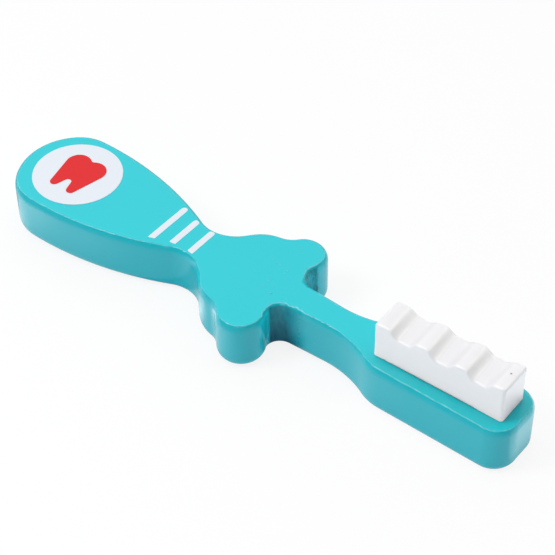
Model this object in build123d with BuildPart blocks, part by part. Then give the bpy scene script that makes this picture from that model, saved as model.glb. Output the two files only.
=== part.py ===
from build123d import *
from math import atan2, cos, degrees, radians, sin, sqrt, tan
import os

# Toy toothbrush of a wooden dentist play set, in millimetres.
# A flat board, sawn and rounded to the outline of a brush, carries a white block
# whose scalloped top stands for the bristles. Two hidden dowels hold the block.
# +X runs from the grip to the head and +Z is up. The origin is on the underside,
# in the middle of the board's length and width.

# Board
board_thickness = 15.0
edge_round = 2.7

# Grip, from its tip to the narrowest point of the neck
grip_length = 61.2
grip_end_radius = 17.0
grip_end_half_angle = 49.5
grip_corner_radius = 12.4
flank_radius = 96.3

# Neck and the collar that widens from it to the centre of the lobes
collar_length = 25.2
neck_width = 12.6
neck_radius = 10.5
neck_rise_angle = 49.1
neck_rise_length = 2.0

# Lobes that keep the fingers off the head
shoulder_radius = 11.8
notch_radius = 6.7
lobe_span = 39.8
lobe_radius = 6.6
crotch_radius = 3.6

# Stem, from the centre of the lobes to the head, with its width given halfway
stem_length = 40.4
stem_width = 9.3
stem_taper = 2.5
flare_radius = 29.4

# Head
head_length = 37.2
head_width = 18.5
head_shoulder_radius = 13.1
head_corner_radius = 6.6

# Bristle block
block_length = 37.5
block_width = 10.2
block_height = 11.5
block_end_margin = 3.8
block_corner_round = 1.2
block_top_round = 0.7
block_foot_ease = 0.4

# Scallops across the block's top
scallop_count = 3
scallop_pitch = 11.1
scallop_width = 6.9
scallop_depth = 2.4
scallop_shift = 0.4
scallop_lip_round = 0.5

# Dowels and their holes
dowel_diameter = 6.0
dowel_spacing = 22.0
dowel_in_board = 9.0
dowel_in_block = 6.0
dowel_end_gap = 0.5
dowel_chamfer = 0.6
glue_gap = 0.05

# Printed marks, each a thin coat of ink
ink = 0.1
badge_from_end = 17.7
badge_radius = 12.6
cusp_radius = 3.7
cusp_spread = 5.5
cusp_height = 3.4
root_radius = 1.3
root_spread = 6.0
root_depth = 6.1
tooth_crease_radius = 1.0

# Stripes: distance past the neck, length across the board, slant of the near end
stripe_width = 2.0
stripe_near_corner = 0.3
stripes = {
    "stripe_rear": (-10.5, 14.7, 17.0),
    "stripe_middle": (-4.7, 10.8, 8.0),
    "stripe_front": (1.3, 10.0, -6.0),
}

# Places that follow from the sizes
board_length = grip_length + collar_length + stem_length + head_length
grip_tip_x = -board_length / 2
neck_x = grip_tip_x + grip_length
lobe_x = neck_x + collar_length
head_start_x = lobe_x + stem_length
head_tip_x = board_length / 2
block_x = head_tip_x - block_end_margin - block_length / 2
block_top_z = board_thickness + block_height
scallop_radius = (scallop_width**2 / 4 + scallop_depth**2) / (2 * scallop_depth)
dowel_radius = dowel_diameter / 2


def meet(centre_a, reach_a, centre_b, reach_b, side):
    """Point at two given distances from two centres, left (1) or right (-1) of their line."""
    across = centre_b - centre_a
    along = (across.length**2 + reach_a**2 - reach_b**2) / (2 * across.length)
    height = sqrt(reach_a**2 - along**2)
    unit = across.normalized()
    return centre_a + unit * along + Vector(-unit.Y, unit.X) * side * height


def meet_line(point, direction, centre, reach, side):
    """Point of a line at a given distance from a centre, past it (1) or before it (-1)."""
    nearest = point + direction * (centre - point).dot(direction)
    offset_length = (centre - nearest).length
    return nearest + direction * side * sqrt(reach**2 - offset_length**2)


def touch(centre, radius, other):
    """Point of a circle on the line through another circle's centre."""
    return centre + (other - centre).normalized() * radius


def arc(centre, start, end, turn):
    """Arc about a centre, to the left (1) or to the right (-1)."""
    first = start - centre
    last = end - centre
    start_angle = degrees(atan2(first.Y, first.X))
    sweep = turn * (degrees(atan2(last.Y, last.X)) - start_angle) % 360
    return CenterArc(centre, first.length, start_angle, turn * sweep)


# Centres of the outline's rounds, on the +Y half. Each round touches its neighbours.
grip_end = Vector(grip_tip_x + grip_end_radius, 0)
corner_direction = Vector(-cos(radians(grip_end_half_angle)), sin(radians(grip_end_half_angle)))
grip_corner = grip_end + corner_direction * (grip_end_radius - grip_corner_radius)
neck = Vector(neck_x, neck_width / 2 + neck_radius)
flank = meet(grip_corner, flank_radius - grip_corner_radius, neck, flank_radius + neck_radius, -1)

rise = Vector(cos(radians(neck_rise_angle)), sin(radians(neck_rise_angle)))
rise_inward = Vector(rise.Y, -rise.X)
rise_start = neck + rise_inward * neck_radius
rise_end = rise_start + rise * neck_rise_length
shoulder = rise_end + rise_inward * shoulder_radius
lobe = Vector(lobe_x, lobe_span / 2 - lobe_radius)
notch = meet(shoulder, shoulder_radius + notch_radius, lobe, lobe_radius + notch_radius, 1)

stem_along = Vector(cos(radians(stem_taper)), -sin(radians(stem_taper)))
stem_outward = Vector(-stem_along.Y, stem_along.X)
stem_middle = Vector(lobe_x + stem_length / 2, stem_width / 2)
crotch_line = stem_middle + stem_outward * crotch_radius
crotch = meet_line(crotch_line, stem_along, lobe, lobe_radius + crotch_radius, 1)
head_shoulder = Vector(head_start_x, head_width / 2 - head_shoulder_radius)
flare_line = stem_middle + stem_outward * flare_radius
flare = meet_line(flare_line, stem_along, head_shoulder, flare_radius + head_shoulder_radius, -1)
head_corner = Vector(head_tip_x - head_corner_radius, head_width / 2 - head_corner_radius)

# Points where the outline passes from one stretch to the next
grip_tip = Vector(grip_tip_x, 0)
end_to_corner = touch(grip_end, grip_end_radius, grip_corner)
corner_to_flank = touch(flank, flank_radius, grip_corner)
flank_to_neck = touch(flank, flank_radius, neck)
shoulder_to_notch = touch(shoulder, shoulder_radius, notch)
notch_to_lobe = touch(lobe, lobe_radius, notch)
lobe_to_crotch = touch(lobe, lobe_radius, crotch)
crotch_to_stem = crotch - stem_outward * crotch_radius
stem_to_flare = flare - stem_outward * flare_radius
flare_to_shoulder = touch(head_shoulder, head_shoulder_radius, flare)
shoulder_to_side = Vector(head_start_x, head_width / 2)
side_to_corner = Vector(head_corner.X, head_width / 2)
corner_to_tip = Vector(head_tip_x, head_corner.Y)

# Outline of the board, one half drawn from the grip's tip and mirrored
with BuildSketch() as outline:
    with BuildLine():
        arc(grip_end, grip_tip, end_to_corner, -1)
        arc(grip_corner, end_to_corner, corner_to_flank, -1)
        arc(flank, corner_to_flank, flank_to_neck, -1)
        arc(neck, flank_to_neck, rise_start, 1)
        Line(rise_start, rise_end)
        arc(shoulder, rise_end, shoulder_to_notch, -1)
        arc(notch, shoulder_to_notch, notch_to_lobe, 1)
        arc(lobe, notch_to_lobe, lobe_to_crotch, -1)
        arc(crotch, lobe_to_crotch, crotch_to_stem, 1)
        Line(crotch_to_stem, stem_to_flare)
        arc(flare, stem_to_flare, flare_to_shoulder, 1)
        arc(head_shoulder, flare_to_shoulder, shoulder_to_side, -1)
        Line(shoulder_to_side, side_to_corner)
        arc(head_corner, side_to_corner, corner_to_tip, -1)
        Line(corner_to_tip, Vector(head_tip_x, 0))
        mirror(about=Plane.XZ)
    make_face()

# Handle: the board with both rims rounded over and two blind holes under the block
with BuildPart() as handle:
    add(outline.sketch)
    extrude(amount=board_thickness)
    fillet(handle.faces().filter_by(Axis.Z).edges(), edge_round)
    with Locations((block_x, 0, board_thickness)):
        with GridLocations(dowel_spacing, dowel_spacing, 2, 1):
            Hole(dowel_radius + glue_gap, dowel_in_board + dowel_end_gap)

# Bristle block: a rounded bar with scallops across its top and two holes from below
with BuildPart() as bristle_block:
    with BuildSketch(Plane.XY.offset(board_thickness)) as block_plan:
        with Locations((block_x, 0)):
            Rectangle(block_length, block_width)
        fillet(block_plan.vertices(), block_corner_round)
    extrude(amount=block_height)
    fillet(bristle_block.faces().sort_by(Axis.Z)[-1].edges(), block_top_round)
    fillet(bristle_block.faces().sort_by(Axis.Z)[0].edges(), block_foot_ease)
    with BuildSketch(Plane.XZ):
        with Locations((block_x + scallop_shift, block_top_z + scallop_radius - scallop_depth)):
            with GridLocations(scallop_pitch, scallop_pitch, scallop_count, 1):
                Circle(scallop_radius)
    extrude(amount=block_width, both=True, mode=Mode.SUBTRACT)
    lips = bristle_block.edges().filter_by(Axis.Y).filter_by_position(Axis.Z, block_top_z, block_top_z)
    lips = lips.sort_by(Axis.X)
    fillet(lips, scallop_lip_round)
    with Locations(Plane(origin=(block_x, 0, board_thickness), z_dir=(0, 0, -1))):
        with GridLocations(dowel_spacing, dowel_spacing, 2, 1):
            Hole(dowel_radius + glue_gap, dowel_in_block + dowel_end_gap)

# Dowels: one under each outer scallop, half in the board and half in the block
dowels = {"dowel_rear": -1, "dowel_front": 1}
dowel_parts = []
for dowel_name, dowel_side in dowels.items():
    dowel_x = block_x + dowel_side * dowel_spacing / 2
    with BuildPart() as dowel:
        with BuildSketch(Plane.XY.offset(board_thickness - dowel_in_board)):
            with Locations((dowel_x, 0)):
                Circle(dowel_radius)
        extrude(amount=dowel_in_board + dowel_in_block)
        chamfer(dowel.faces().filter_by(Axis.Z).edges(), dowel_chamfer)
    dowel.part.label = dowel_name
    dowel_parts.append(dowel.part)

# Badge: a white disc of ink with a red tooth printed on it
badge_x = grip_tip_x + badge_from_end
with BuildPart() as badge_disc:
    with BuildSketch(Plane.XY.offset(board_thickness)):
        with Locations((badge_x, 0)):
            Circle(badge_radius)
    extrude(amount=ink)

# Half of the tooth: one cusp and one root, with straight sides between them
with BuildSketch() as half_tooth:
    with Locations((cusp_spread / 2, cusp_height)):
        Circle(cusp_radius)
    with Locations((root_spread / 2, -root_depth)):
        Circle(root_radius)
    make_hull()

with BuildPart() as badge_tooth:
    with BuildSketch(Plane((badge_x, 0, board_thickness + ink))) as tooth_outline:
        add(half_tooth.sketch)
        mirror(half_tooth.sketch, about=Plane.YZ)
        creases = tooth_outline.vertices().filter_by_position(Axis.X, -ink, ink)
        fillet(creases, tooth_crease_radius)
    extrude(amount=ink)

# Skin of ink over the board's top, from which the stripes are cut
with BuildPart() as ink_skin:
    with BuildSketch():
        add(outline.sketch)
        offset(amount=ink)
    extrude(amount=board_thickness + ink)
    fillet(ink_skin.faces().sort_by(Axis.Z)[-1].edges(), edge_round + ink)
    add(handle.part, mode=Mode.SUBTRACT)

# Stripes: a full round at the far end and a slanted cut at the near end
stripe_parts = []
for stripe_name, (past_neck, across, slant) in stripes.items():
    stripe_x = neck_x + past_neck
    half_width = stripe_width / 2
    slant_rise = half_width * tan(radians(slant))
    near_left = Vector(stripe_x - half_width, -across / 2 - slant_rise)
    near_right = Vector(stripe_x + half_width, -across / 2 + slant_rise)
    far_left = Vector(stripe_x - half_width, across / 2 - half_width)
    far_right = Vector(stripe_x + half_width, across / 2 - half_width)
    with BuildPart() as stripe:
        with BuildSketch(Plane.XY.offset(board_thickness - edge_round)) as stripe_plan:
            with BuildLine():
                Polyline(far_left, near_left, near_right, far_right)
                ThreePointArc(far_right, Vector(stripe_x, across / 2), far_left)
            make_face()
            near_corners = stripe_plan.vertices().sort_by(Axis.Y)[:2]
            fillet(near_corners, stripe_near_corner)
        extrude(amount=edge_round + 2 * ink)
        add(ink_skin.part, mode=Mode.INTERSECT)
    stripe.part.label = stripe_name
    stripe_parts.append(stripe.part)

handle.part.label = "handle"
bristle_block.part.label = "bristle_block"
badge_disc.part.label = "badge_disc"
badge_tooth.part.label = "badge_tooth"

os.makedirs("parts", exist_ok=True)
pieces = [handle.part, bristle_block.part, badge_disc.part, badge_tooth.part]
for piece in pieces + dowel_parts + stripe_parts:
    export_step(piece, f"parts/{piece.label}.step")
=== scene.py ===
import math

import bmesh
import bpy
from mathutils import Matrix, Vector, noise
from mathutils.bvhtree import BVHTree


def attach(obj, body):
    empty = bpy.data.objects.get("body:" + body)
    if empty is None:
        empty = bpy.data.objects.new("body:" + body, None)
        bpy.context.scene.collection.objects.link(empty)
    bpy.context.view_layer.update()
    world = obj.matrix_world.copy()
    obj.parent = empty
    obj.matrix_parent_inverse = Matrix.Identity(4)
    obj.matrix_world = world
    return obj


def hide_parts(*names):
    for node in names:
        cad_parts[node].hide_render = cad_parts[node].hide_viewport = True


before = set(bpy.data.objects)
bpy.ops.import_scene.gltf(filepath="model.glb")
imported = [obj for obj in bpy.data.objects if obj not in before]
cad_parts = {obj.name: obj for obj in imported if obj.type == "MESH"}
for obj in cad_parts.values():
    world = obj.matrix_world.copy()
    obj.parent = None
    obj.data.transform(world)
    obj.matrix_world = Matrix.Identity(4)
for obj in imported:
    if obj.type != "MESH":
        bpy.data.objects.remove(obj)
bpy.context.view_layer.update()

MM = 0.001
UP = Vector((0, 0, 1))

# Camera, fitted to the outline, the badge and the block's corners
SENSOR = 36.0
LENS = 114.8
CAMERA_AZIMUTH = math.radians(38.52)
CAMERA_ELEVATION = math.radians(44.61)
CAMERA_ROLL = math.radians(-0.67)
CAMERA_TARGET = Vector((-4.67, 13.56, 0.0)) * MM
CAMERA_DISTANCE = 482.7 * MM
NEAREST_SEEN = 10.0 * MM

# Round softboxes a metre away: direction, half-angle in degrees and radiance, where 1 is white
KEY_DIRECTION = (-0.66, -0.75, 1.25)
FILL_DIRECTION = (0.45, -1.0, 0.35)
LAMPS = {
    "key": (KEY_DIRECTION, 12, 9.3),
    "fill": (FILL_DIRECTION, 14, 2.2),
    "overhead": ((0.0, 0.0, 1.0), 12, 2.9),
}
LAMP_DISTANCE = 1.0

# World: the direction that it is brightest in, and how it falls off away from it
WORLD_BRIGHT = (-0.35, 0.85, 0.4)
WORLD_FALL = {"From Min": -0.35, "From Max": 0.85, "To Min": 0.08, "To Max": 0.95}


def linear(red, green, blue):
    """Linear colour of an 8-bit display colour."""
    def channel(value):
        share = value / 255
        if share <= 0.04045:
            return share / 12.92
        return ((share + 0.055) / 1.055) ** 2.4
    return (channel(red), channel(green), channel(blue), 1.0)


def add_camera():
    """Camera at the photograph's place, looking at the middle of the brush."""
    back = Vector((
        math.sin(CAMERA_AZIMUTH) * math.cos(CAMERA_ELEVATION),
        -math.cos(CAMERA_AZIMUTH) * math.cos(CAMERA_ELEVATION),
        math.sin(CAMERA_ELEVATION),
    ))
    level_right = UP.cross(back).normalized()
    level_up = back.cross(level_right)
    right = level_right * math.cos(CAMERA_ROLL) + level_up * math.sin(CAMERA_ROLL)
    up = level_up * math.cos(CAMERA_ROLL) - level_right * math.sin(CAMERA_ROLL)
    data = bpy.data.cameras.new("camera")
    data.sensor_width = SENSOR
    data.lens = LENS
    data.clip_start = NEAREST_SEEN
    camera = bpy.data.objects.new("camera", data)
    turn = Matrix((right, up, back)).transposed().to_4x4()
    camera.matrix_world = Matrix.Translation(CAMERA_TARGET + back * CAMERA_DISTANCE) @ turn
    bpy.context.scene.collection.objects.link(camera)
    bpy.context.scene.camera = camera


class Nodes:
    """A material's node tree, with short calls to add and join nodes."""

    def __init__(self, name):
        self.material = bpy.data.materials.new(name)
        self.material.use_nodes = True
        self.tree = self.material.node_tree
        self.tree.nodes.clear()

    def add(self, kind, **settings):
        """New node with its settings."""
        node = self.tree.nodes.new(kind)
        for key, value in settings.items():
            setattr(node, key, value)
        return node

    def put(self, socket, value):
        """Gives an input a constant, or joins it to another node's output."""
        if isinstance(value, bpy.types.NodeSocket):
            self.tree.links.new(value, socket)
        else:
            socket.default_value = value

    def place(self):
        """Position on the part, in metres."""
        return self.add("ShaderNodeTexCoord").outputs["Object"]

    def facing(self):
        """Direction that the surface faces."""
        return self.add("ShaderNodeTexCoord").outputs["Normal"]

    def split(self, vector):
        """The three outputs X, Y and Z of a vector."""
        node = self.add("ShaderNodeSeparateXYZ")
        self.put(node.inputs["Vector"], vector)
        return node.outputs

    def noise(self, scale, detail, stretch=None):
        """Noise over the part, 0 to 1 about a half; the scale is in features a metre."""
        node = self.add("ShaderNodeTexNoise")
        place = self.place()
        if stretch:
            mapping = self.add("ShaderNodeMapping")
            self.put(mapping.inputs["Vector"], place)
            mapping.inputs["Scale"].default_value = stretch
            place = mapping.outputs["Vector"]
        self.put(node.inputs["Vector"], place)
        node.inputs["Scale"].default_value = scale
        node.inputs["Detail"].default_value = detail
        return node.outputs["Fac"]

    def ramp(self, value, low, high, to_low=0.0, to_high=1.0, smooth=True):
        """A value's way from low to high mapped to the way from to_low to to_high."""
        node = self.add("ShaderNodeMapRange")
        node.interpolation_type = "SMOOTHSTEP" if smooth else "LINEAR"
        self.put(node.inputs["Value"], value)
        node.inputs["From Min"].default_value = low
        node.inputs["From Max"].default_value = high
        node.inputs["To Min"].default_value = to_low
        node.inputs["To Max"].default_value = to_high
        return node.outputs["Result"]

    def through(self, place, span, start, end, middle=0.0):
        """Start to end as a place goes through a span in millimetres, counted from a middle."""
        return self.ramp(place, (middle + span[0]) * MM, (middle + span[1]) * MM, start, end)

    def rise(self, place, span, middle=0.0):
        """0 to 1 as a place goes through a span."""
        return self.through(place, span, 0.0, 1.0, middle)

    def fall(self, place, span, middle=0.0, full=1.0):
        """Full to 0 as a place goes through a span."""
        return self.through(place, span, full, 0.0, middle)

    def distance(self, x, y, z):
        """Distance from a place given in millimetres."""
        node = self.add("ShaderNodeVectorMath", operation="DISTANCE")
        self.put(node.inputs[0], self.place())
        node.inputs[1].default_value = (x * MM, y * MM, z * MM)
        return node.outputs["Value"]

    def towards(self, direction):
        """How far the surface faces a direction: 1 square on, 0 edge on."""
        node = self.add("ShaderNodeVectorMath", operation="DOT_PRODUCT")
        self.put(node.inputs[0], self.facing())
        node.inputs[1].default_value = Vector(direction).normalized()
        return node.outputs["Value"]

    def maths(self, operation, first, second=0.0):
        """Result of a sum with one or two values."""
        node = self.add("ShaderNodeMath", operation=operation)
        self.put(node.inputs[0], first)
        self.put(node.inputs[1], second)
        return node.outputs["Value"]

    def product(self, *factors):
        """All factors multiplied together."""
        result = factors[0]
        for factor in factors[1:]:
            result = self.maths("MULTIPLY", result, factor)
        return result

    def mix(self, factor, first, second):
        """Mix of two colours."""
        node = self.add("ShaderNodeMix", data_type="RGBA")
        self.put(node.inputs["Factor"], factor)
        self.put(node.inputs["A"], first)
        self.put(node.inputs["B"], second)
        return node.outputs["Result"]

    def bounced(self):
        """1 for light that comes from another surface, bounced or mirrored, and 0 for the camera."""
        path = self.add("ShaderNodeLightPath")
        return self.maths("MAXIMUM", path.outputs["Is Diffuse Ray"], path.outputs["Is Glossy Ray"])

    def bump(self, height, distance, normal=None):
        """Normal tilted by a height map, whose full height is a distance in metres."""
        node = self.add("ShaderNodeBump")
        node.inputs["Strength"].default_value = 1.0
        node.inputs["Distance"].default_value = distance
        self.put(node.inputs["Height"], height)
        if normal:
            self.put(node.inputs["Normal"], normal)
        return node.outputs["Normal"]

    def finish(self, colour, roughness, normal, **constants):
        """Principled shader with its constants set on its own sockets."""
        shader = self.add("ShaderNodeBsdfPrincipled")
        self.put(shader.inputs["Base Color"], colour)
        self.put(shader.inputs["Roughness"], roughness)
        self.put(shader.inputs["Normal"], normal)
        for key, value in constants.items():
            shader.inputs[key.replace("_", " ")].default_value = value
        output = self.add("ShaderNodeOutputMaterial")
        self.tree.links.new(shader.outputs["BSDF"], output.inputs["Surface"])
        return self.material


# Middle range of a noise, which is stretched to the whole range of what it steers
NOISE_LOW = 0.3
NOISE_HIGH = 0.7
FINE_RELIEF = 0.01 * MM
WEAR_LAYER = "edge_wear"

# Teal paint; a noise is its features a metre, its detail and, where it is drawn out, how far
TEAL = (linear(28, 204, 215), linear(24, 206, 217))
# Painted shade: a deeper teal where the surface faces the fill lamp, which takes back that lamp's light on
# the board
TEAL_FILL_SHADE = linear(25, 190, 201)
TEAL_WORN = linear(132, 214, 222)
TEAL_LOBE_LIGHT = linear(32, 240, 252)
TEAL_CROTCH_SHADE = linear(3, 90, 113)
# Painted bounce light: near white, seen only by bounced and mirrored light beside the block
TEAL_BOUNCED = linear(242, 247, 251)
TEAL_CLOUDS = (60, 3)
TEAL_GRIT = (1400, 3)
TEAL_WAVES = (300, 2)
TEAL_RELIEF = 0.02 * MM
TEAL_ROUGHNESS = (0.12, 0.17)
FILL_SHADE_FACING = (0.2, 0.9)
BESIDE_BLOCK = (34.0, 40.0)

# Painted light on a lobe's inner side, a paler teal where the crotch shades it: spans in millimetres from
# the crotch's middle, and heights
LOBE_LIGHT_ACROSS = (-0.4, 0.3)
LOBE_LIGHT_ACROSS_END = (2.2, 7.0)
LOBE_LIGHT_ACROSS_FULL = 0.75
LOBE_LIGHT_ALONG = (-5.6, -3.2)
LOBE_LIGHT_ALONG_END = (2.0, 4.0)
LOBE_LIGHT_TOP = (13.6, 14.6)

# Painted shade in a crotch, darkest low down, where the paint is also rough over unsanded wood, with spans
# from the same places
UNSANDED_SHADE_ACROSS_END = (-0.7, -0.2)
UNSANDED_SHADE_FURTHER = 3.3
UNSANDED_SHADE_ALONG = (-5.0, -4.6)
UNSANDED_SHADE_ALONG_END = (-1.5, 6.5)
UNSANDED_SHADE_TOP = (14.1, 14.7)
SHADE_FAR_SIDE = 0.8
UNSANDED_ROUGHNESS = 0.4
DARKEST_HEIGHTS = (2.0, 13.0)
DARKNESS = (0.95, 0.65)
FIBRES = (1300, 4, (1, 1, 0.3))
FIBRE_RELIEF = 0.12 * MM
FIBRE_LOW = 0.38
FIBRE_HIGH = 0.62
BLOTCHES = (-0.6, 0.2)
BLOTCHES_SHOWN = (0.15, 0.8)
MIDDLE_LINE = (-1.0, 1.0)
BLOTCH_LINE = (-3.0, 3.0)


def teal_paint(crotch):
    """Glossy water-based paint: worn pale along the crease and rough where no sander reached. It carries
    painted shade in the crotches and on the sides that face the fill lamp, painted light on the lobes' inner
    sides, and painted bounce light beside the block.
    """
    nodes = Nodes("teal_paint")
    colour = nodes.mix(nodes.noise(*TEAL_CLOUDS), *TEAL)
    # Painted shade on the parts that face the fill lamp
    colour = nodes.mix(nodes.ramp(nodes.towards(FILL_DIRECTION), *FILL_SHADE_FACING), colour, TEAL_FILL_SHADE)
    worn = nodes.add("ShaderNodeAttribute", attribute_name=WEAR_LAYER)
    colour = nodes.mix(worn.outputs["Fac"], colour, TEAL_WORN)
    place = nodes.split(nodes.place())
    across = nodes.maths("ABSOLUTE", place["Y"])
    # Painted light: a paler teal on each lobe's inner side, where the crotch shades it
    lobe_light = nodes.product(
        nodes.rise(across, LOBE_LIGHT_ACROSS, crotch.y),
        nodes.fall(across, LOBE_LIGHT_ACROSS_END, crotch.y, LOBE_LIGHT_ACROSS_FULL),
        nodes.rise(place["X"], LOBE_LIGHT_ALONG, crotch.x),
        nodes.fall(place["X"], LOBE_LIGHT_ALONG_END, crotch.x),
        nodes.fall(place["Z"], LOBE_LIGHT_TOP),
    )
    colour = nodes.mix(lobe_light, colour, TEAL_LOBE_LIGHT)

    # Painted shade in the crotch: a dark teal, darkest low down and blotched along the fibres, where the
    # paint is also rough over unsanded wood
    further = nodes.through(place["Y"], MIDDLE_LINE, 0.0, UNSANDED_SHADE_FURTHER * MM)
    unsanded_and_shaded = nodes.product(
        nodes.fall(nodes.maths("SUBTRACT", across, further), UNSANDED_SHADE_ACROSS_END, crotch.y),
        nodes.rise(place["X"], UNSANDED_SHADE_ALONG, crotch.x),
        nodes.fall(place["X"], UNSANDED_SHADE_ALONG_END, crotch.x),
        nodes.fall(place["Z"], UNSANDED_SHADE_TOP),
    )
    deep = nodes.through(place["Z"], DARKEST_HEIGHTS, *DARKNESS)
    fibre = nodes.noise(*FIBRES)
    far_side = nodes.through(place["Y"], BLOTCH_LINE, *BLOTCHES_SHOWN)
    blotches = nodes.product(nodes.ramp(fibre, FIBRE_LOW, FIBRE_HIGH, *BLOTCHES), far_side)
    crotch_shade_share = nodes.product(unsanded_and_shaded, nodes.through(place["Y"], MIDDLE_LINE, 1.0, SHADE_FAR_SIDE))
    crotch_shade = nodes.product(crotch_shade_share, nodes.maths("ADD", blotches, deep))
    colour = nodes.mix(crotch_shade, colour, TEAL_CROTCH_SHADE)

    # Painted bounce light: beside the block the board is near white to bounced and mirrored light, so that
    # it lights the block's sides brighter and paler
    pale = nodes.product(nodes.bounced(), nodes.rise(place["X"], BESIDE_BLOCK))
    colour = nodes.mix(pale, colour, TEAL_BOUNCED)

    roughness = nodes.ramp(nodes.noise(*TEAL_GRIT), NOISE_LOW, NOISE_HIGH, *TEAL_ROUGHNESS)
    roughness = nodes.maths("ADD", roughness, nodes.product(unsanded_and_shaded, UNSANDED_ROUGHNESS))
    normal = nodes.bump(nodes.noise(*TEAL_WAVES), TEAL_RELIEF)
    normal = nodes.bump(nodes.product(unsanded_and_shaded, fibre), FIBRE_RELIEF, normal)
    return nodes.finish(colour, roughness, normal)


# White paint with painted shade and light: darker where it faces the key lamp and not the near side, paler
# where it faces away
WHITE_KEY_SHADE = (linear(238, 237, 240), linear(240, 239, 242))
WHITE_LIT_AWAY_FROM_KEY = (linear(254, 254, 252), linear(255, 255, 253))
# Painted shade: grey seen only by bounced and mirrored light off the block's sides, which dims the light
# they throw on the board beside them
WHITE_BOUNCED = linear(165, 172, 175)
WHITE_CLOUDS = (80, 3)
WHITE_GRIT = (900, 3)
WHITE_WAVES = (250, 2)
WHITE_ROUGHNESS = (0.32, 0.4)
KEY_SHADE_FACING = (0.60, 0.78)
KEY_SHADE_LEANING = (-0.5, -0.15)
KEY_SHADE_NEAR_SHARE = 0.55
SPECK = (76.1, 1.0, 26.5)
SPECK_EDGE = (0.28, 0.42)
SPECK_COLOUR = linear(150, 108, 62)


def white_paint():
    """White paint over bare wood, with one speck on the last land where the wood shows. It is painted darker
    where it faces the key lamp and paler where it faces away, and grey to light bounced off its sides.
    """
    nodes = Nodes("white_paint")
    cloud = nodes.noise(*WHITE_CLOUDS)
    # Painted shade where the paint faces the key lamp, and painted light elsewhere
    key_shade = nodes.product(
        nodes.ramp(nodes.towards(KEY_DIRECTION), *KEY_SHADE_FACING),
        nodes.ramp(nodes.split(nodes.facing())["Y"], *KEY_SHADE_LEANING, KEY_SHADE_NEAR_SHARE, 1.0),
    )
    # Painted shade: the sides are grey to bounced and mirrored light, so the board beside the block gets
    # less light
    side = nodes.mix(nodes.bounced(), nodes.mix(cloud, *WHITE_LIT_AWAY_FROM_KEY), WHITE_BOUNCED)
    colour = nodes.mix(key_shade, side, nodes.mix(cloud, *WHITE_KEY_SHADE))
    colour = nodes.mix(nodes.fall(nodes.distance(*SPECK), SPECK_EDGE), colour, SPECK_COLOUR)
    roughness = nodes.ramp(nodes.noise(*WHITE_GRIT), NOISE_LOW, NOISE_HIGH, *WHITE_ROUGHNESS)
    normal = nodes.bump(nodes.noise(*WHITE_WAVES), FINE_RELIEF)
    return nodes.finish(
        colour, roughness, normal,
        Specular_IOR_Level=1.0, Coat_Weight=1.0, Coat_Roughness=0.4,
        Subsurface_Weight=0.3, Subsurface_Scale=1.5 * MM, Subsurface_Radius=(1.0, 1.0, 1.0),
    )


# Printed ink and bare wood
WHITE_INK = (linear(227, 233, 241), linear(229, 235, 243))
WHITE_INK_GLOSS = 0.5
RED_INK = (linear(222, 32, 36), linear(226, 38, 42))
RED_INK_GLOSS = 0.25
INK_CLOUDS = (300, 3)
INK_GRIT = (2000, 2)
INK_ROUGHNESS = (0.35, 0.5)
WOOD = (linear(205, 170, 128), linear(178, 138, 96))
WOOD_GRAIN = (900, 4, (1, 1, 0.08))
WOOD_RELIEF = 0.05 * MM
WOOD_ROUGHNESS = (0.55, 0.7)


def ink(name, colours, gloss):
    """Matte printed ink that clouds between two colours."""
    nodes = Nodes(name)
    colour = nodes.mix(nodes.noise(*INK_CLOUDS), *colours)
    grit = nodes.noise(*INK_GRIT)
    roughness = nodes.ramp(grit, NOISE_LOW, NOISE_HIGH, *INK_ROUGHNESS)
    normal = nodes.bump(grit, FINE_RELIEF)
    return nodes.finish(colour, roughness, normal, Specular_IOR_Level=gloss)


def bare_wood():
    """Pale wood with its grain along the dowels."""
    nodes = Nodes("bare_wood")
    grain = nodes.noise(*WOOD_GRAIN)
    colour = nodes.mix(grain, *WOOD)
    normal = nodes.bump(grain, WOOD_RELIEF)
    roughness = nodes.ramp(grain, NOISE_LOW, NOISE_HIGH, *WOOD_ROUGHNESS)
    return nodes.finish(colour, roughness, normal)


# Floor: its paper as the camera sees it and as light bounces off it, and its half side in metres
FLOOR_SEEN = (linear(247, 247, 248), linear(249, 249, 250))
FLOOR_BOUNCE = (linear(230, 240, 253), linear(232, 242, 254))
FLOOR_PAPER = (30, 2)
FLOOR_HALF_SIDE = 3.0
FLOOR_HEIGHT = -0.05 * MM
FLOOR_GLOW = 0.85

# Painted reflection: what the gloss mirrors of the floor, in millimetres: bright beside the brush and dim
# further away
BRUSH_LINE = (-65.0, 75.0)
NEAR_FLOOR = (20.0, 75.0)
NEAR_BRIGHTNESS = (0.95, 0.25)
PAST_END_ALONG = (82.0, 86.0)
PAST_END_ACROSS = (-4.6, -2.2)
PAST_END_BRIGHTNESS = 0.75
# Pools of light: place and reach, in millimetres, and brightness
POOLS = (
    (-79.0, -24.0, 18.0, 1.0),
    (-58.0, -26.0, 28.0, 0.4),
    (-16.5, -13.0, 7.5, 1.3),
    (-2.0, -28.0, 18.0, 0.5),
    (38.0, -15.0, 13.0, 0.25),
)
# Nook where the floor lies in the board's own shade: place and reach, in millimetres
SHADED_NOOK = (13.5, -7.5, 5.0)
NOOK_CORE = 0.2
# Painted shade on the mirrored floor beside the flank's end: where it lies, in millimetres, and how bright
UNDER_FLANK_ALONG = (-22.0, -20.5)
UNDER_FLANK_ACROSS = (-11.6, -10.6)
UNDER_FLANK_BRIGHTNESS = 0.35
# Painted contact shade on the mirrored floor: dimmer where the board is near, over a reach in millimetres
CONTACT_REACH = 14.0
CONTACT_SAMPLES = 8
CONTACT_BRIGHTNESS = (0.4, 1.05)


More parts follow.
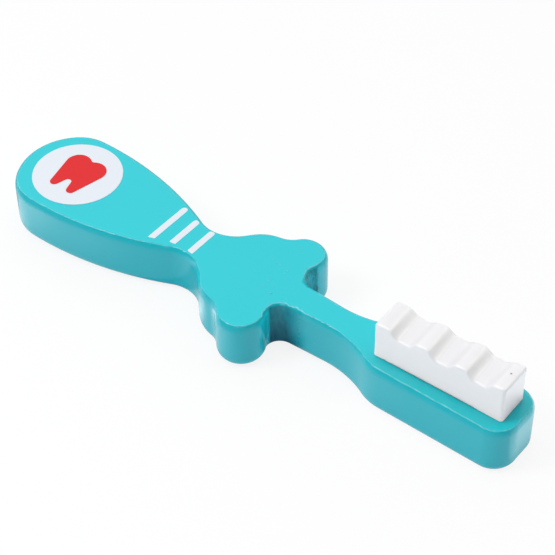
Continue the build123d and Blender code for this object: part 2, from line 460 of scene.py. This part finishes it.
def mirrored_floor(nodes):
    """Brightness painted on the floor where a glossy surface mirrors it: painted pools of light, and painted
    shade in a nook, beside the flank and near the board.
    """
    place = nodes.split(nodes.place())
    along = nodes.add("ShaderNodeClamp")
    nodes.put(along.inputs["Value"], place["X"])
    along.inputs["Min"].default_value = BRUSH_LINE[0] * MM
    along.inputs["Max"].default_value = BRUSH_LINE[1] * MM
    beside = nodes.add("ShaderNodeCombineXYZ")
    nodes.put(beside.inputs["X"], nodes.maths("SUBTRACT", place["X"], along.outputs["Result"]))
    nodes.put(beside.inputs["Y"], place["Y"])
    away = nodes.add("ShaderNodeVectorMath", operation="LENGTH")
    nodes.put(away.inputs[0], beside.outputs["Vector"])
    near = nodes.through(away.outputs["Value"], NEAR_FLOOR, *NEAR_BRIGHTNESS)
    past_end = nodes.product(
        nodes.rise(place["X"], PAST_END_ALONG),
        nodes.rise(place["Y"], PAST_END_ACROSS),
        PAST_END_BRIGHTNESS,
    )
    brightness = nodes.maths("ADD", near, past_end)
    for x, y, reach, bright in POOLS:
        pool = nodes.fall(nodes.distance(x, y, 0), (0.0, reach), full=bright)
        brightness = nodes.maths("ADD", brightness, pool)
    x, y, reach = SHADED_NOOK
    nook = nodes.rise(nodes.distance(x, y, 0), (NOOK_CORE * reach, reach))
    under_flank = nodes.product(
        nodes.fall(place["X"], UNDER_FLANK_ALONG),
        nodes.rise(place["Y"], UNDER_FLANK_ACROSS),
    )
    flank = nodes.ramp(under_flank, 0.0, 1.0, 1.0, UNDER_FLANK_BRIGHTNESS)
    open_sky = nodes.add("ShaderNodeAmbientOcclusion", samples=CONTACT_SAMPLES)
    open_sky.inputs["Distance"].default_value = CONTACT_REACH * MM
    contact = nodes.ramp(open_sky.outputs["AO"], 0.0, 1.0, *CONTACT_BRIGHTNESS, smooth=False)
    return nodes.product(brightness, nook, flank, contact)


def floor_material():
    """White floor that keeps a soft shadow, and dims in reflections away from the brush."""
    nodes = Nodes("floor")
    path = nodes.add("ShaderNodeLightPath").outputs
    paper = nodes.noise(*FLOOR_PAPER)
    colour = nodes.mix(path["Is Camera Ray"], nodes.mix(paper, *FLOOR_BOUNCE), nodes.mix(paper, *FLOOR_SEEN))
    diffuse = nodes.add("ShaderNodeBsdfDiffuse")
    nodes.put(diffuse.inputs["Color"], colour)
    strength = nodes.add("ShaderNodeMix", data_type="FLOAT")
    nodes.put(strength.inputs["Factor"], path["Is Glossy Ray"])
    strength.inputs["A"].default_value = 1.0
    nodes.put(strength.inputs["B"], mirrored_floor(nodes))
    glow = nodes.add("ShaderNodeEmission")
    nodes.put(glow.inputs["Strength"], strength.outputs["Result"])
    seen = nodes.maths("MAXIMUM", path["Is Camera Ray"], path["Is Glossy Ray"])
    seen = nodes.maths("MAXIMUM", seen, path["Is Transmission Ray"])
    mix = nodes.add("ShaderNodeMixShader")
    nodes.put(mix.inputs["Fac"], nodes.product(seen, FLOOR_GLOW))
    nodes.tree.links.new(diffuse.outputs["BSDF"], mix.inputs[1])
    nodes.tree.links.new(glow.outputs["Emission"], mix.inputs[2])
    output = nodes.add("ShaderNodeOutputMaterial")
    nodes.tree.links.new(mix.outputs["Shader"], output.inputs["Surface"])
    return nodes.material


def add_floor():
    """Floor just under the board, so that it shares no plane with the underside."""
    half = FLOOR_HALF_SIDE
    mesh = bpy.data.meshes.new("floor")
    corners = [(x, y, FLOOR_HEIGHT) for x, y in ((-half, -half), (half, -half), (half, half), (-half, half))]
    mesh.from_pydata(corners, [], [(0, 1, 2, 3)])
    floor = bpy.data.objects.new("floor", mesh)
    floor.data.materials.append(floor_material())
    bpy.context.scene.collection.objects.link(floor)


def add_softbox(name, direction, spread, brightness):
    """Round softbox that faces the brush."""
    radius = LAMP_DISTANCE * math.tan(math.radians(spread))
    data = bpy.data.lights.new(name, "AREA")
    data.shape = "DISK"
    data.size = 2 * radius
    data.energy = brightness * math.pi * math.pi * radius**2
    lamp = bpy.data.objects.new(name, data)
    spot = Vector(direction).normalized() * LAMP_DISTANCE
    lamp.location = spot
    lamp.rotation_euler = spot.to_track_quat("Z", "Y").to_euler()
    bpy.context.scene.collection.objects.link(lamp)


def add_world():
    """White studio that is bright behind the brush and dim in front of it."""
    world = bpy.data.worlds.new("studio")
    world.use_nodes = True
    tree = world.node_tree
    tree.nodes.clear()
    place = tree.nodes.new("ShaderNodeTexCoord")
    towards = tree.nodes.new("ShaderNodeVectorMath")
    towards.operation = "DOT_PRODUCT"
    towards.inputs[1].default_value = Vector(WORLD_BRIGHT).normalized()
    tree.links.new(place.outputs["Generated"], towards.inputs[0])
    fall = tree.nodes.new("ShaderNodeMapRange")
    fall.interpolation_type = "SMOOTHSTEP"
    tree.links.new(towards.outputs["Value"], fall.inputs["Value"])
    for name, value in WORLD_FALL.items():
        fall.inputs[name].default_value = value
    background = tree.nodes.new("ShaderNodeBackground")
    background.inputs["Color"].default_value = (1, 1, 1, 1)
    tree.links.new(fall.outputs["Result"], background.inputs["Strength"])
    output = tree.nodes.new("ShaderNodeOutputWorld")
    tree.links.new(background.outputs["Background"], output.inputs["Surface"])
    bpy.context.scene.world = world


# Outline of the board, in millimetres, from the same sizes as the CAD part
BOARD_THICKNESS = 15.0
STEP = 0.25
GRIP_END = Vector((-65.0, 0.0))
GRIP_END_RADIUS = 17.0
GRIP_END_HALF_ANGLE = math.radians(49.5)
GRIP_CORNER_RADIUS = 12.4
FLANK_RADIUS = 96.3
NECK = Vector((-20.8, 16.8))
NECK_RADIUS = 10.5
RISE_ANGLE = math.radians(49.1)
RISE_LENGTH = 2.0
SHOULDER_RADIUS = 11.8
NOTCH_RADIUS = 6.7
LOBE = Vector((4.4, 13.3))
LOBE_RADIUS = 6.6
CROTCH_RADIUS = 3.6
STEM_MIDDLE = Vector((24.6, 4.65))
STEM_TAPER = math.radians(2.5)
FLARE_RADIUS = 29.4
HEAD_SHOULDER = Vector((44.8, -3.85))
HEAD_SHOULDER_RADIUS = 13.1
HEAD_CORNER = Vector((75.4, 2.65))
HEAD_CORNER_RADIUS = 6.6
HEAD_TIP_X = 82.0


def meet(centre_a, reach_a, centre_b, reach_b, side):
    """Point at two given distances from two centres, left (1) or right (-1) of their line."""
    across = centre_b - centre_a
    along = (across.length**2 + reach_a**2 - reach_b**2) / (2 * across.length)
    height = math.sqrt(reach_a**2 - along**2)
    unit = across.normalized()
    return centre_a + unit * along + Vector((-unit.y, unit.x)) * side * height


def meet_line(point, direction, centre, reach, side):
    """Point of a line at a given distance from a centre, past it (1) or before it (-1)."""
    nearest = point + direction * (centre - point).dot(direction)
    return nearest + direction * side * math.sqrt(reach**2 - (centre - nearest).length_squared)


def touch(centre, radius, other):
    """Point of a circle that is nearest to another place."""
    return centre + (other - centre).normalized() * radius


def walk_arc(centre, start, end, turn):
    """Points and outward normals along an arc, convex where it turns right (-1)."""
    first = start - centre
    last = end - centre
    start_angle = math.atan2(first.y, first.x)
    sweep = turn * (math.atan2(last.y, last.x) - start_angle) % math.tau
    count = max(2, round(sweep * first.length / STEP))
    stretch = []
    for index in range(count):
        angle = start_angle + turn * sweep * index / count
        radial = Vector((math.cos(angle), math.sin(angle)))
        stretch.append((centre + radial * first.length, radial * -turn))
    return stretch


def walk_line(start, end):
    """Points and outward normals along a straight stretch."""
    along = (end - start).normalized()
    count = max(2, round((end - start).length / STEP))
    return [(start.lerp(end, index / count), Vector((-along.y, along.x))) for index in range(count)]


def board_outline():
    """Points and outward normals of the outline, clockwise from the grip's tip, and the crotch's middle."""
    corner_direction = Vector((-math.cos(GRIP_END_HALF_ANGLE), math.sin(GRIP_END_HALF_ANGLE)))
    grip_corner = GRIP_END + corner_direction * (GRIP_END_RADIUS - GRIP_CORNER_RADIUS)
    flank = meet(grip_corner, FLANK_RADIUS - GRIP_CORNER_RADIUS, NECK, FLANK_RADIUS + NECK_RADIUS, -1)
    rise = Vector((math.cos(RISE_ANGLE), math.sin(RISE_ANGLE)))
    rise_inward = Vector((rise.y, -rise.x))
    rise_start = NECK + rise_inward * NECK_RADIUS
    rise_end = rise_start + rise * RISE_LENGTH
    shoulder = rise_end + rise_inward * SHOULDER_RADIUS
    notch = meet(shoulder, SHOULDER_RADIUS + NOTCH_RADIUS, LOBE, LOBE_RADIUS + NOTCH_RADIUS, 1)
    stem_along = Vector((math.cos(STEM_TAPER), -math.sin(STEM_TAPER)))
    stem_outward = Vector((-stem_along.y, stem_along.x))
    crotch_line = STEM_MIDDLE + stem_outward * CROTCH_RADIUS
    crotch = meet_line(crotch_line, stem_along, LOBE, LOBE_RADIUS + CROTCH_RADIUS, 1)
    flare_line = STEM_MIDDLE + stem_outward * FLARE_RADIUS
    flare = meet_line(flare_line, stem_along, HEAD_SHOULDER, FLARE_RADIUS + HEAD_SHOULDER_RADIUS, -1)

    tip = GRIP_END - Vector((GRIP_END_RADIUS, 0))
    end_to_corner = touch(GRIP_END, GRIP_END_RADIUS, grip_corner)
    corner_to_flank = touch(flank, FLANK_RADIUS, grip_corner)
    flank_to_neck = touch(flank, FLANK_RADIUS, NECK)
    shoulder_to_notch = touch(shoulder, SHOULDER_RADIUS, notch)
    notch_to_lobe = touch(LOBE, LOBE_RADIUS, notch)
    lobe_to_crotch = touch(LOBE, LOBE_RADIUS, crotch)
    crotch_to_stem = crotch - stem_outward * CROTCH_RADIUS
    stem_to_flare = flare - stem_outward * FLARE_RADIUS
    flare_to_shoulder = touch(HEAD_SHOULDER, HEAD_SHOULDER_RADIUS, flare)
    shoulder_to_side = HEAD_SHOULDER + Vector((0, HEAD_SHOULDER_RADIUS))
    side_to_corner = HEAD_CORNER + Vector((0, HEAD_CORNER_RADIUS))
    corner_to_tip = HEAD_CORNER + Vector((HEAD_CORNER_RADIUS, 0))
    half = walk_arc(GRIP_END, tip, end_to_corner, -1)
    half += walk_arc(grip_corner, end_to_corner, corner_to_flank, -1)
    half += walk_arc(flank, corner_to_flank, flank_to_neck, -1)
    half += walk_arc(NECK, flank_to_neck, rise_start, 1)
    half += walk_line(rise_start, rise_end)
    half += walk_arc(shoulder, rise_end, shoulder_to_notch, -1)
    half += walk_arc(notch, shoulder_to_notch, notch_to_lobe, 1)
    half += walk_arc(LOBE, notch_to_lobe, lobe_to_crotch, -1)
    half += walk_arc(crotch, lobe_to_crotch, crotch_to_stem, 1)
    half += walk_line(crotch_to_stem, stem_to_flare)
    half += walk_arc(flare, stem_to_flare, flare_to_shoulder, 1)
    half += walk_arc(HEAD_SHOULDER, flare_to_shoulder, shoulder_to_side, -1)
    half += walk_line(shoulder_to_side, side_to_corner)
    half += walk_arc(HEAD_CORNER, side_to_corner, corner_to_tip, -1)
    half += walk_line(corner_to_tip, Vector((HEAD_TIP_X, 0)))
    end = [(Vector((HEAD_TIP_X, 0)), Vector((1, 0)))]
    mirrored = [(Vector((p.x, -p.y)), Vector((n.x, -n.y))) for p, n in reversed(half[1:])]
    return half + end + mirrored, crotch


def ripple(point, height, length, seed):
    """Smooth noise of about a height either way, that changes over a length in millimetres."""
    return height * noise.noise(Vector((point.x, point.y, seed)) / length)


def hollow(x, y, z, length):
    """Smooth noise from 0 to 1 that changes over a length in millimetres."""
    return 0.5 + 0.5 * noise.noise(Vector((x, y, z)) / length)


def blend(low, high, value):
    """Smooth step from 0 to 1 as the value goes from low to high."""
    share = max(0.0, min(1.0, (value - low) / (high - low)))
    return share * share * (3 - 2 * share)


# Meshes: rows of faces across a rim, a wall and a rounded edge, and sides of a dowel's hole
BEAD_ROWS = 6
ROUND_ROWS = 9
WALL_ROWS = 22
EDGE_TURNS = 6
HOLE_SIDES = 32
# Faces that lie level are shaded flat
LEVEL_NORMAL = 0.99999

# Holes of the dowels, in millimetres
HOLE_RADIUS = 3.05
DOWEL_X = (48.45, 70.45)
BOARD_HOLE_FLOOR = 5.5
BLOCK_HOLE_FLOOR = 21.5


def ring(mesh, centre, radius, z):
    """Circle of points at a height, all in millimetres."""
    angles = [math.tau * index / HOLE_SIDES for index in range(HOLE_SIDES)]
    return [
        mesh.verts.new(((centre + radius * math.cos(a)) * MM, radius * math.sin(a) * MM, z * MM))
        for a in angles
    ]


def bridge(mesh, first, second):
    """Band of quads between two closed loops of as many points."""
    count = len(first)
    for k in range(count):
        mesh.faces.new((first[k], first[(k + 1) % count], second[(k + 1) % count], second[k]))


def grid_faces(mesh, grid):
    """Quads between the rows of a grid of points."""
    for a, b in zip(grid, grid[1:]):
        for k in range(len(a) - 1):
            mesh.faces.new((a[k], b[k], b[k + 1], a[k + 1]))


def grid_edge(grid):
    """Closed loop of the points round a grid."""
    start = [row[0] for row in grid]
    end = [row[-1] for row in reversed(grid[:-1])]
    return start + grid[-1][1:] + end + grid[0][-2:0:-1]


def cap_with_holes(mesh, loop, face_z, floor_z):
    """Flat face inside a loop, with a blind hole for each dowel from the face to a floor."""
    edges = [mesh.edges.get((loop[k], loop[(k + 1) % len(loop)])) for k in range(len(loop))]
    for centre in DOWEL_X:
        mouth = ring(mesh, centre, HOLE_RADIUS, face_z)
        bottom = ring(mesh, centre, HOLE_RADIUS, floor_z)
        bridge(mesh, mouth, bottom)
        mesh.faces.new(bottom)
        for hoop in (mouth, bottom):
            for k in range(HOLE_SIDES):
                edge = mesh.edges.get((hoop[k], hoop[(k + 1) % HOLE_SIDES]))
                edge.smooth = False
                if hoop is mouth:
                    edges.append(edge)
    bmesh.ops.triangle_fill(mesh, use_beauty=True, use_dissolve=False, edges=edges)


def finished_piece(mesh, name, material, node_name):
    """Object made from a mesh, standing for a CAD node where one is named."""
    bmesh.ops.recalc_face_normals(mesh, faces=mesh.faces)
    for face in mesh.faces:
        face.smooth = abs(face.normal.z) < LEVEL_NORMAL
    data = bpy.data.meshes.new(name)
    mesh.to_mesh(data)
    mesh.free()
    piece = bpy.data.objects.new(name, data)
    bpy.context.scene.collection.objects.link(piece)
    piece.data.materials.append(material)
    if node_name:
        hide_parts(node_name)
    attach(piece, "root")
    return piece


# Rims of the board, in millimetres; a ripple is its height, its length and its seed
EDGE_ROUND = 2.7
LOWER_DROP = 0.12
LOWER_BEAD = 0.4
NEAR_SIDE = Vector((0.62, -0.78))
NEAR_FROM = -0.35
NEAR_TO = 0.35
CRISP_ROUND = 2.3
SOFT_DROP = 0.15
CRISP_DROP = 2.3
DROP_RIPPLE = (0.12, 9, 1)
BEAD = 0.42
BEAD_RIPPLE = (0.2, 2.2, 5)
CHIPS = ((0.26, 2.5, 3), (0.22, 1.0, 9))
CHIPPED = 0.7
CHIPPED_BY_CROTCH = 1.5
DEEPEST_CHIP = 0.6
CHIP_LOST_OVER_BEAD = 0.4
CHIP_END_ON_ROUND = 1 / 3
FACE_MARGIN = 0.4
WAVE = 0.02
WAVE_RIPPLE = (0.02, 7, 2)

# Wear of the crease: where it is strong, in millimetres, and how strong
SCRATCHED = 0.75
SCRATCHES = ((0.5, 1.6, 7), (0.4, 0.6, 8))
LEAST_SCRATCHED = 0.15
CROTCH_WEAR_SHIFT = 1
CROTCH_WEAR_REACH = 9
CROTCH_WEAR_HALF_WIDTH = 12
NOSE_WEAR_ALONG = (-62, -72)
HEAD_WEAR_ALONG = (34, 44)
WEAR = 0.45
WEAR_BY_CROTCH = 0.6
WEAR_BY_NOSE = 0.4
WEAR_BY_HEAD = 0.1

# Open grain of the unsanded wood in a crotch, in millimetres
GRAIN_REACH = 9
GRAIN_DEPTH = 0.09
GRAIN_SIZE = 0.7


def rim(radius, drop, bead, inset_shift):
    """Inset, depth and wear across a rim: it was rounded over, and then the face was sanded down by drop."""
    reach = radius - bead
    bead_inset = radius - math.sqrt(reach**2 - (reach - drop)**2)
    join = math.asin((reach - drop) / reach)
    across = []
    for index in range(BEAD_ROWS + 1):
        share = index / BEAD_ROWS
        angle = math.pi / 2 + (join - math.pi / 2) * share
        shift = inset_shift * (1 - CHIP_LOST_OVER_BEAD * share)
        wear = math.sin(math.pi * share)
        across.append((bead_inset - bead * math.cos(angle) + shift, bead - bead * math.sin(angle), wear))
    for index in range(1, ROUND_ROWS + 1):
        share = index / ROUND_ROWS
        angle = join * (1 - share)
        shift = inset_shift * (1 - CHIP_LOST_OVER_BEAD) * max(0.0, 1 - share / CHIP_END_ON_ROUND)
        across.append((radius * (1 - math.cos(angle)) + shift, radius * (1 - math.sin(angle)) - drop, 0.0))
    return across


def board_levels(point, normal, crotch):
    """Inset, height and wear of the points down one place of the board's edge, and its wave."""
    crisp = blend(NEAR_FROM, NEAR_TO, normal.dot(NEAR_SIDE))
    by_crotch = 0.0
    if abs(point.y) < CROTCH_WEAR_HALF_WIDTH:
        by_crotch = max(0.0, 1 - abs(point.x - crotch.x - CROTCH_WEAR_SHIFT) / CROTCH_WEAR_REACH)
    chip = sum(ripple(point, *layer) for layer in CHIPS) * (CHIPPED + CHIPPED_BY_CROTCH * by_crotch)
    radius = EDGE_ROUND + CRISP_ROUND * crisp
    drop = SOFT_DROP + (CRISP_DROP + ripple(point, *DROP_RIPPLE)) * crisp
    bead = BEAD + ripple(point, *BEAD_RIPPLE)
    top = rim(radius, drop, bead, max(-DEEPEST_CHIP, chip))
    bottom = rim(EDGE_ROUND, LOWER_DROP, LOWER_BEAD, 0.0)

    scratch = max(LEAST_SCRATCHED, SCRATCHED + sum(ripple(point, *layer) for layer in SCRATCHES))
    by_nose = blend(*NOSE_WEAR_ALONG, point.x)
    by_head = blend(*HEAD_WEAR_ALONG, point.x)
    worn = WEAR + WEAR_BY_CROTCH * by_crotch + WEAR_BY_NOSE * by_nose + WEAR_BY_HEAD * by_head
    worn *= crisp * scratch

    top_z = BOARD_THICKNESS - top[-1][1]
    bottom_z = bottom[-1][1]
    levels = [(top[0][0] + FACE_MARGIN, BOARD_THICKNESS, 0.0)]
    levels += [(inset, BOARD_THICKNESS - depth, wear * worn) for inset, depth, wear in top]
    levels += [(0.0, top_z + (bottom_z - top_z) * k / WALL_ROWS, 0.0) for k in range(1, WALL_ROWS)]
    levels += [(inset, depth, 0.0) for inset, depth, wear in reversed(bottom)]
    levels += [(levels[-1][0] + FACE_MARGIN, 0.0, 0.0)]
    return levels, -WAVE - ripple(point, *WAVE_RIPPLE)


def build_handle():
    """Board with hand-sanded rims: crisp along the near side and softer along the far side."""
    outline, crotch = board_outline()
    mesh = bmesh.new()
    wear_layer = mesh.verts.layers.float.new(WEAR_LAYER)
    columns = []
    for point, normal in outline:
        levels, wave = board_levels(point, normal, crotch)
        column = []
        for inset, z, wear in levels:
            place = point - normal * inset
            grain = 0.0
            near = (Vector((place.x, abs(place.y))) - crotch).length
            if near < GRAIN_REACH:
                grain = -GRAIN_DEPTH * (1 - near / GRAIN_REACH) * hollow(place.x, place.y, z, GRAIN_SIZE)
            place += normal * (wave + grain) * max(0.0, 1 - inset)
            vertex = mesh.verts.new((place.x * MM, place.y * MM, z * MM))
            vertex[wear_layer] = wear
            column.append(vertex)
        columns.append(column)
    for index, column in enumerate(columns):
        other = columns[(index + 1) % len(columns)]
        for k in range(len(column) - 1):
            mesh.faces.new((column[k], other[k], other[k + 1], column[k + 1]))
    cap_with_holes(mesh, [column[0] for column in columns], BOARD_THICKNESS, BOARD_HOLE_FLOOR)
    mesh.faces.new([column[-1] for column in columns])
    surface = BVHTree.FromBMesh(mesh)
    paint = teal_paint(crotch)
    finished_piece(mesh, "handle_wood", paint, "handle")
    return surface, paint


# Bristle block, in millimetres, about its middle
BLOCK_MIDDLE = Vector((59.45, 0.0))
BLOCK_HALF = Vector((18.75, 5.1))
BLOCK_TOP = 26.5
BLOCK_SKEW = math.radians(0.9)
BLOCK_CORNERS = {(-1, -1): 0.4, (1, -1): 0.9, (-1, 1): 0.9, (1, 1): 0.9}
BLOCK_EDGE = 0.75
BLOCK_STEP_ALONG = 0.25
BLOCK_STEP_ACROSS = 0.55
TOP_WEAR = 0.03
TOP_RIPPLE = (0.03, 5, 4)
WALL_WEAR = 0.004
WALL_WEAR_LENGTH = 4

# Scallops: shallower and softer towards the far side, and softer on their side towards the head's tip
SCALLOPS = (-10.7, 0.4, 11.4)
SCALLOP_WIDTH = 7.2
SCALLOP_FLANK = 2.5
SCALLOP_DEPTH = 2.35
SCALLOP_FAR_LOSS = 0.24
SCALLOP_RIPPLE = (0.12, 4, 2)
SCALLOP_SOFT = 0.12
SCALLOP_FAR_SOFT = 0.25
SCALLOP_TIP_SOFT = 0.12

# Foot of the block: a small gap under it, and a lift that shows as a dark line along the near side
FOOT_GAP = 0.03
FOOT_EASE = 0.3
FOOT_LIFT = 0.22
LIFT_ACROSS = (1.0, -4.0)
LIFT_ALONG = (BLOCK_HALF.x, 6.0)
LIFT_SHIFT = 2.0
LIFT_LEAST = 0.8
LIFT_RIPPLE = 0.5
LIFT_LENGTH = 1.5
LIFT_SEED = 8.0


def block_top(x, y):
    """Height of the block's top, whose scallops are deeper and crisper at the near side."""
    across = y / (2 * BLOCK_HALF.y) + 0.5
    depth = SCALLOP_DEPTH * (1 - SCALLOP_FAR_LOSS * across)
    cut = 0.0
    for middle in SCALLOPS:
        place = x - middle + ripple(Vector((middle, y)), *SCALLOP_RIPPLE)
        soft = SCALLOP_SOFT + SCALLOP_FAR_SOFT * across + (SCALLOP_TIP_SOFT if place > 0 else 0.0)
        reach = (SCALLOP_WIDTH / 2 - abs(place)) / SCALLOP_FLANK
        eased = min(1.0, (reach + math.sqrt(reach * reach + soft * soft)) / 2)
        cut = max(cut, 1 - (1 - eased)**2)
    return BLOCK_TOP - depth * cut - TOP_WEAR - ripple(Vector((x, y)), *TOP_RIPPLE)


def block_plan(x, y):
    """A place on a rectangle moved so that the corners are rounded, and its inset from the edge."""
    corner = BLOCK_CORNERS[(1 if x > 0 else -1, 1 if y > 0 else -1)]
    over_x = max(0.0, abs(x) - (BLOCK_HALF.x - corner)) / corner
    over_y = max(0.0, abs(y) - (BLOCK_HALF.y - corner)) / corner
    if over_x and over_y:
        round_x = over_x * math.sqrt(1 - over_y * over_y / 2)
        round_y = over_y * math.sqrt(1 - over_x * over_x / 2)
        x = math.copysign(BLOCK_HALF.x - corner + corner * round_x, x)
        y = math.copysign(BLOCK_HALF.y - corner + corner * round_y, y)
        inset = corner * (1 - math.hypot(round_x, round_y))
    else:
        inset = min(BLOCK_HALF.x - abs(x), BLOCK_HALF.y - abs(y))
    return x, y, max(0.0, inset)


def grid_lines(half, step):
    """Places across a side: close together on its rounded edges and even between them."""
    edge = [BLOCK_EDGE * (1 - math.cos(math.pi / 2 * k / EDGE_TURNS)) for k in range(EDGE_TURNS + 1)]
    count = round(2 * (half - BLOCK_EDGE) / step)
    middle = [-half + BLOCK_EDGE + 2 * (half - BLOCK_EDGE) * k / count for k in range(1, count)]
    return [-half + inset for inset in edge] + middle + [half - inset for inset in reversed(edge)]


def foot_lift(x, y):
    """Height of the block's foot over the glue: most along the near side, none at its ends."""
    lift = FOOT_LIFT * blend(*LIFT_ACROSS, y) * blend(*LIFT_ALONG, abs(x + LIFT_SHIFT))
    return lift * (LIFT_LEAST + LIFT_RIPPLE * noise.noise(Vector((x, 0.0, LIFT_SEED)) / LIFT_LENGTH))


def build_block():
    """White block with three hand-cut scallops and softly rounded edges, glued on a little askew."""
    mesh = bmesh.new()
    turn = Matrix.Rotation(BLOCK_SKEW, 2)

    def point(x, y, z):
        place = BLOCK_MIDDLE + turn @ Vector((x, y))
        return mesh.verts.new((place.x * MM, place.y * MM, z * MM))

    grid = []
    places = {}
    for x_line in grid_lines(BLOCK_HALF.x, BLOCK_STEP_ALONG):
        row = []
        for y_line in grid_lines(BLOCK_HALF.y, BLOCK_STEP_ACROSS):
            x, y, inset = block_plan(x_line, y_line)
            short = max(0.0, BLOCK_EDGE - inset)
            z = block_top(x, y) - BLOCK_EDGE + math.sqrt(BLOCK_EDGE**2 - short**2)
            vertex = point(x, y, z)
            places[vertex] = (x, y, z)
            row.append(vertex)
        grid.append(row)
    grid_faces(mesh, grid)
    above = grid_edge(grid)
    edge_places = [places[vertex] for vertex in above]
    foot_z = BOARD_THICKNESS + FOOT_GAP + FOOT_EASE
    for k in range(1, WALL_ROWS + 1):
        below = []
        for x, y, z in edge_places:
            wear = WALL_WEAR * hollow(x, y, z + k, WALL_WEAR_LENGTH)
            shrink = 1 - wear * math.sin(math.pi * k / (WALL_ROWS + 1))
            below.append(point(x * shrink, y * shrink, z + (foot_z - z) * k / WALL_ROWS))
        bridge(mesh, above, below)
        above = below
    for k in range(1, EDGE_TURNS + 1):
        angle = math.pi / 2 * k / EDGE_TURNS
        inset = FOOT_EASE * (1 - math.cos(angle))
        z = foot_z - FOOT_EASE * math.sin(angle)
        below = []
        for x, y, _ in edge_places:
            inset_x = x * (1 - inset / BLOCK_HALF.x)
            inset_y = y * (1 - inset / BLOCK_HALF.y)
            below.append(point(inset_x, inset_y, z + foot_lift(x, y)))
        bridge(mesh, above, below)
        above = below
    cap_with_holes(mesh, above, BOARD_THICKNESS + FOOT_GAP, BLOCK_HOLE_FLOOR)
    finished_piece(mesh, "block_wood", white_paint(), "bristle_block")


def under(surface, x, y):
    """Place of the board's surface under a point given in millimetres."""
    above = Vector((x, y, 2 * BOARD_THICKNESS)) * MM
    return surface.ray_cast(above, -UP)[0]


# Stripes of ink: middle, width, far tip, and near end on the grip's side and on the head's side
STRIPES = {
    "stripe_rear": (-31.3, 1.84, 7.7, -7.3, -6.65),
    "stripe_middle": (-25.53, 1.84, 5.7, -5.2, -5.0),
    "stripe_front": (-19.5, 1.80, 4.9, -4.85, -5.15),
}
STRIPE_ROWS = 40
STRIPE_COLUMNS = 8
STRIPE_CORNER = 0.12
STRIPE_CORNER_POWER = 8
STRIPE_ROUNDNESS = 0.98
STRIPE_RIPPLE = (0.03, 1.5, 6)
INK_TOP = 0.035
INK_FOOT = 0.03


def build_stripe(node_name, surface, material):
    """Coat of ink that follows the board: round at the far end, and cut slanting at the near one."""
    middle, width, far_tip, near_left, near_right = STRIPES[node_name]
    mesh = bmesh.new()
    top = []
    foot = []
    radius = width / 2
    for row in range(STRIPE_ROWS + 1):
        share = math.sin(math.pi / 2 * row / STRIPE_ROWS)
        top_row = []
        foot_row = []
        for column in range(STRIPE_COLUMNS + 1):
            side = 2 * column / STRIPE_COLUMNS - 1
            near_y = near_left + (near_right - near_left) * (side + 1) / 2
            near_y += STRIPE_CORNER * side**STRIPE_CORNER_POWER
            far_y = far_tip - radius + radius * math.sqrt(1 - STRIPE_ROUNDNESS * side * side)
            y = near_y + (far_y - near_y) * share
            wobble = ripple(Vector((middle, y)), *STRIPE_RIPPLE) if abs(side) == 1 else 0.0
            hit = under(surface, middle + radius * side + wobble, y)
            top_row.append(mesh.verts.new(hit + UP * INK_TOP * MM))
            foot_row.append(mesh.verts.new(hit - UP * INK_FOOT * MM))
        top.append(top_row)
        foot.append(foot_row)
    grid_faces(mesh, top)
    grid_faces(mesh, foot)
    bridge(mesh, grid_edge(top), grid_edge(foot))
    finished_piece(mesh, node_name + "_ink", material, node_name)


# Nibs of dust under the paint: place on the board and size, in millimetres
NIBS = (
    (3.7, 13.6, 0.22), (7.4, 16.0, 0.2), (-0.3, 6.2, 0.2), (1.2, 6.0, 0.22),
    (2.5, 5.8, 0.22), (5.3, 5.1, 0.3), (5.4, 3.8, 0.22), (-1.4, -0.2, 0.2),
    (3.7, -0.8, 0.22), (4.1, -3.1, 0.28), (5.9, -1.8, 0.2), (7.0, -4.0, 0.3),
    (-1.1, -11.0, 0.2), (-70.9, -11.6, 0.3), (-51.1, -8.6, 0.25), (-57.9, -12.3, 0.2),
)
NIB_WEAR = 0.35
NIB_RINGS = 4
NIB_SIDES = 10
NIB_UNEVENNESS = 0.35
NIB_SEED_STEP = 3.7
NIB_HEIGHT = 0.45
NIB_SUNK = 0.02


def build_nibs(surface, paint):
    """Low irregular domes where dust set in the paint."""
    mesh = bmesh.new()
    wear_layer = mesh.verts.layers.float.new(WEAR_LAYER)
    for number, (x, y, size) in enumerate(NIBS):
        centre = under(surface, x, y)
        rings = []
        for level in range(NIB_RINGS):
            angle = math.pi / 2 * level / NIB_RINGS
            height = size * NIB_HEIGHT * math.sin(angle) - NIB_SUNK
            hoop = []
            for side in range(NIB_SIDES):
                around = math.tau * side / NIB_SIDES
                seed = Vector((math.cos(around), math.sin(around), number * NIB_SEED_STEP))
                reach = size * math.cos(angle) * (1 + NIB_UNEVENNESS * noise.noise(seed))
                offset = Vector((reach * math.cos(around), reach * math.sin(around), height))
                vertex = mesh.verts.new(centre + offset * MM)
                vertex[wear_layer] = NIB_WEAR
                hoop.append(vertex)
            rings.append(hoop)
        for low, high in zip(rings, rings[1:]):
            bridge(mesh, low, high)
        mesh.faces.new(rings[-1])
        mesh.faces.new(rings[0])
    finished_piece(mesh, "paint_nibs", paint, None)


# The nodes that stay as the CAD part has them, with their materials
MATERIALS = {
    "badge_disc": ink("white_ink", WHITE_INK, WHITE_INK_GLOSS),
    "badge_tooth": ink("red_ink", RED_INK, RED_INK_GLOSS),
    "dowel_rear": bare_wood(),
}
MATERIALS["dowel_front"] = MATERIALS["dowel_rear"]

for node_name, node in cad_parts.items():
    if node_name in MATERIALS:
        node.data.materials.clear()
        node.data.materials.append(MATERIALS[node_name])

add_camera()
board_surface, board_paint = build_handle()
build_nibs(board_surface, board_paint)
build_block()
for stripe_name in STRIPES:
    build_stripe(stripe_name, board_surface, MATERIALS["badge_disc"])
add_floor()
add_world()
for lamp_name, (direction, spread, brightness) in LAMPS.items():
    add_softbox(lamp_name, direction, spread, brightness)

bpy.context.scene.view_settings.view_transform = "Standard"
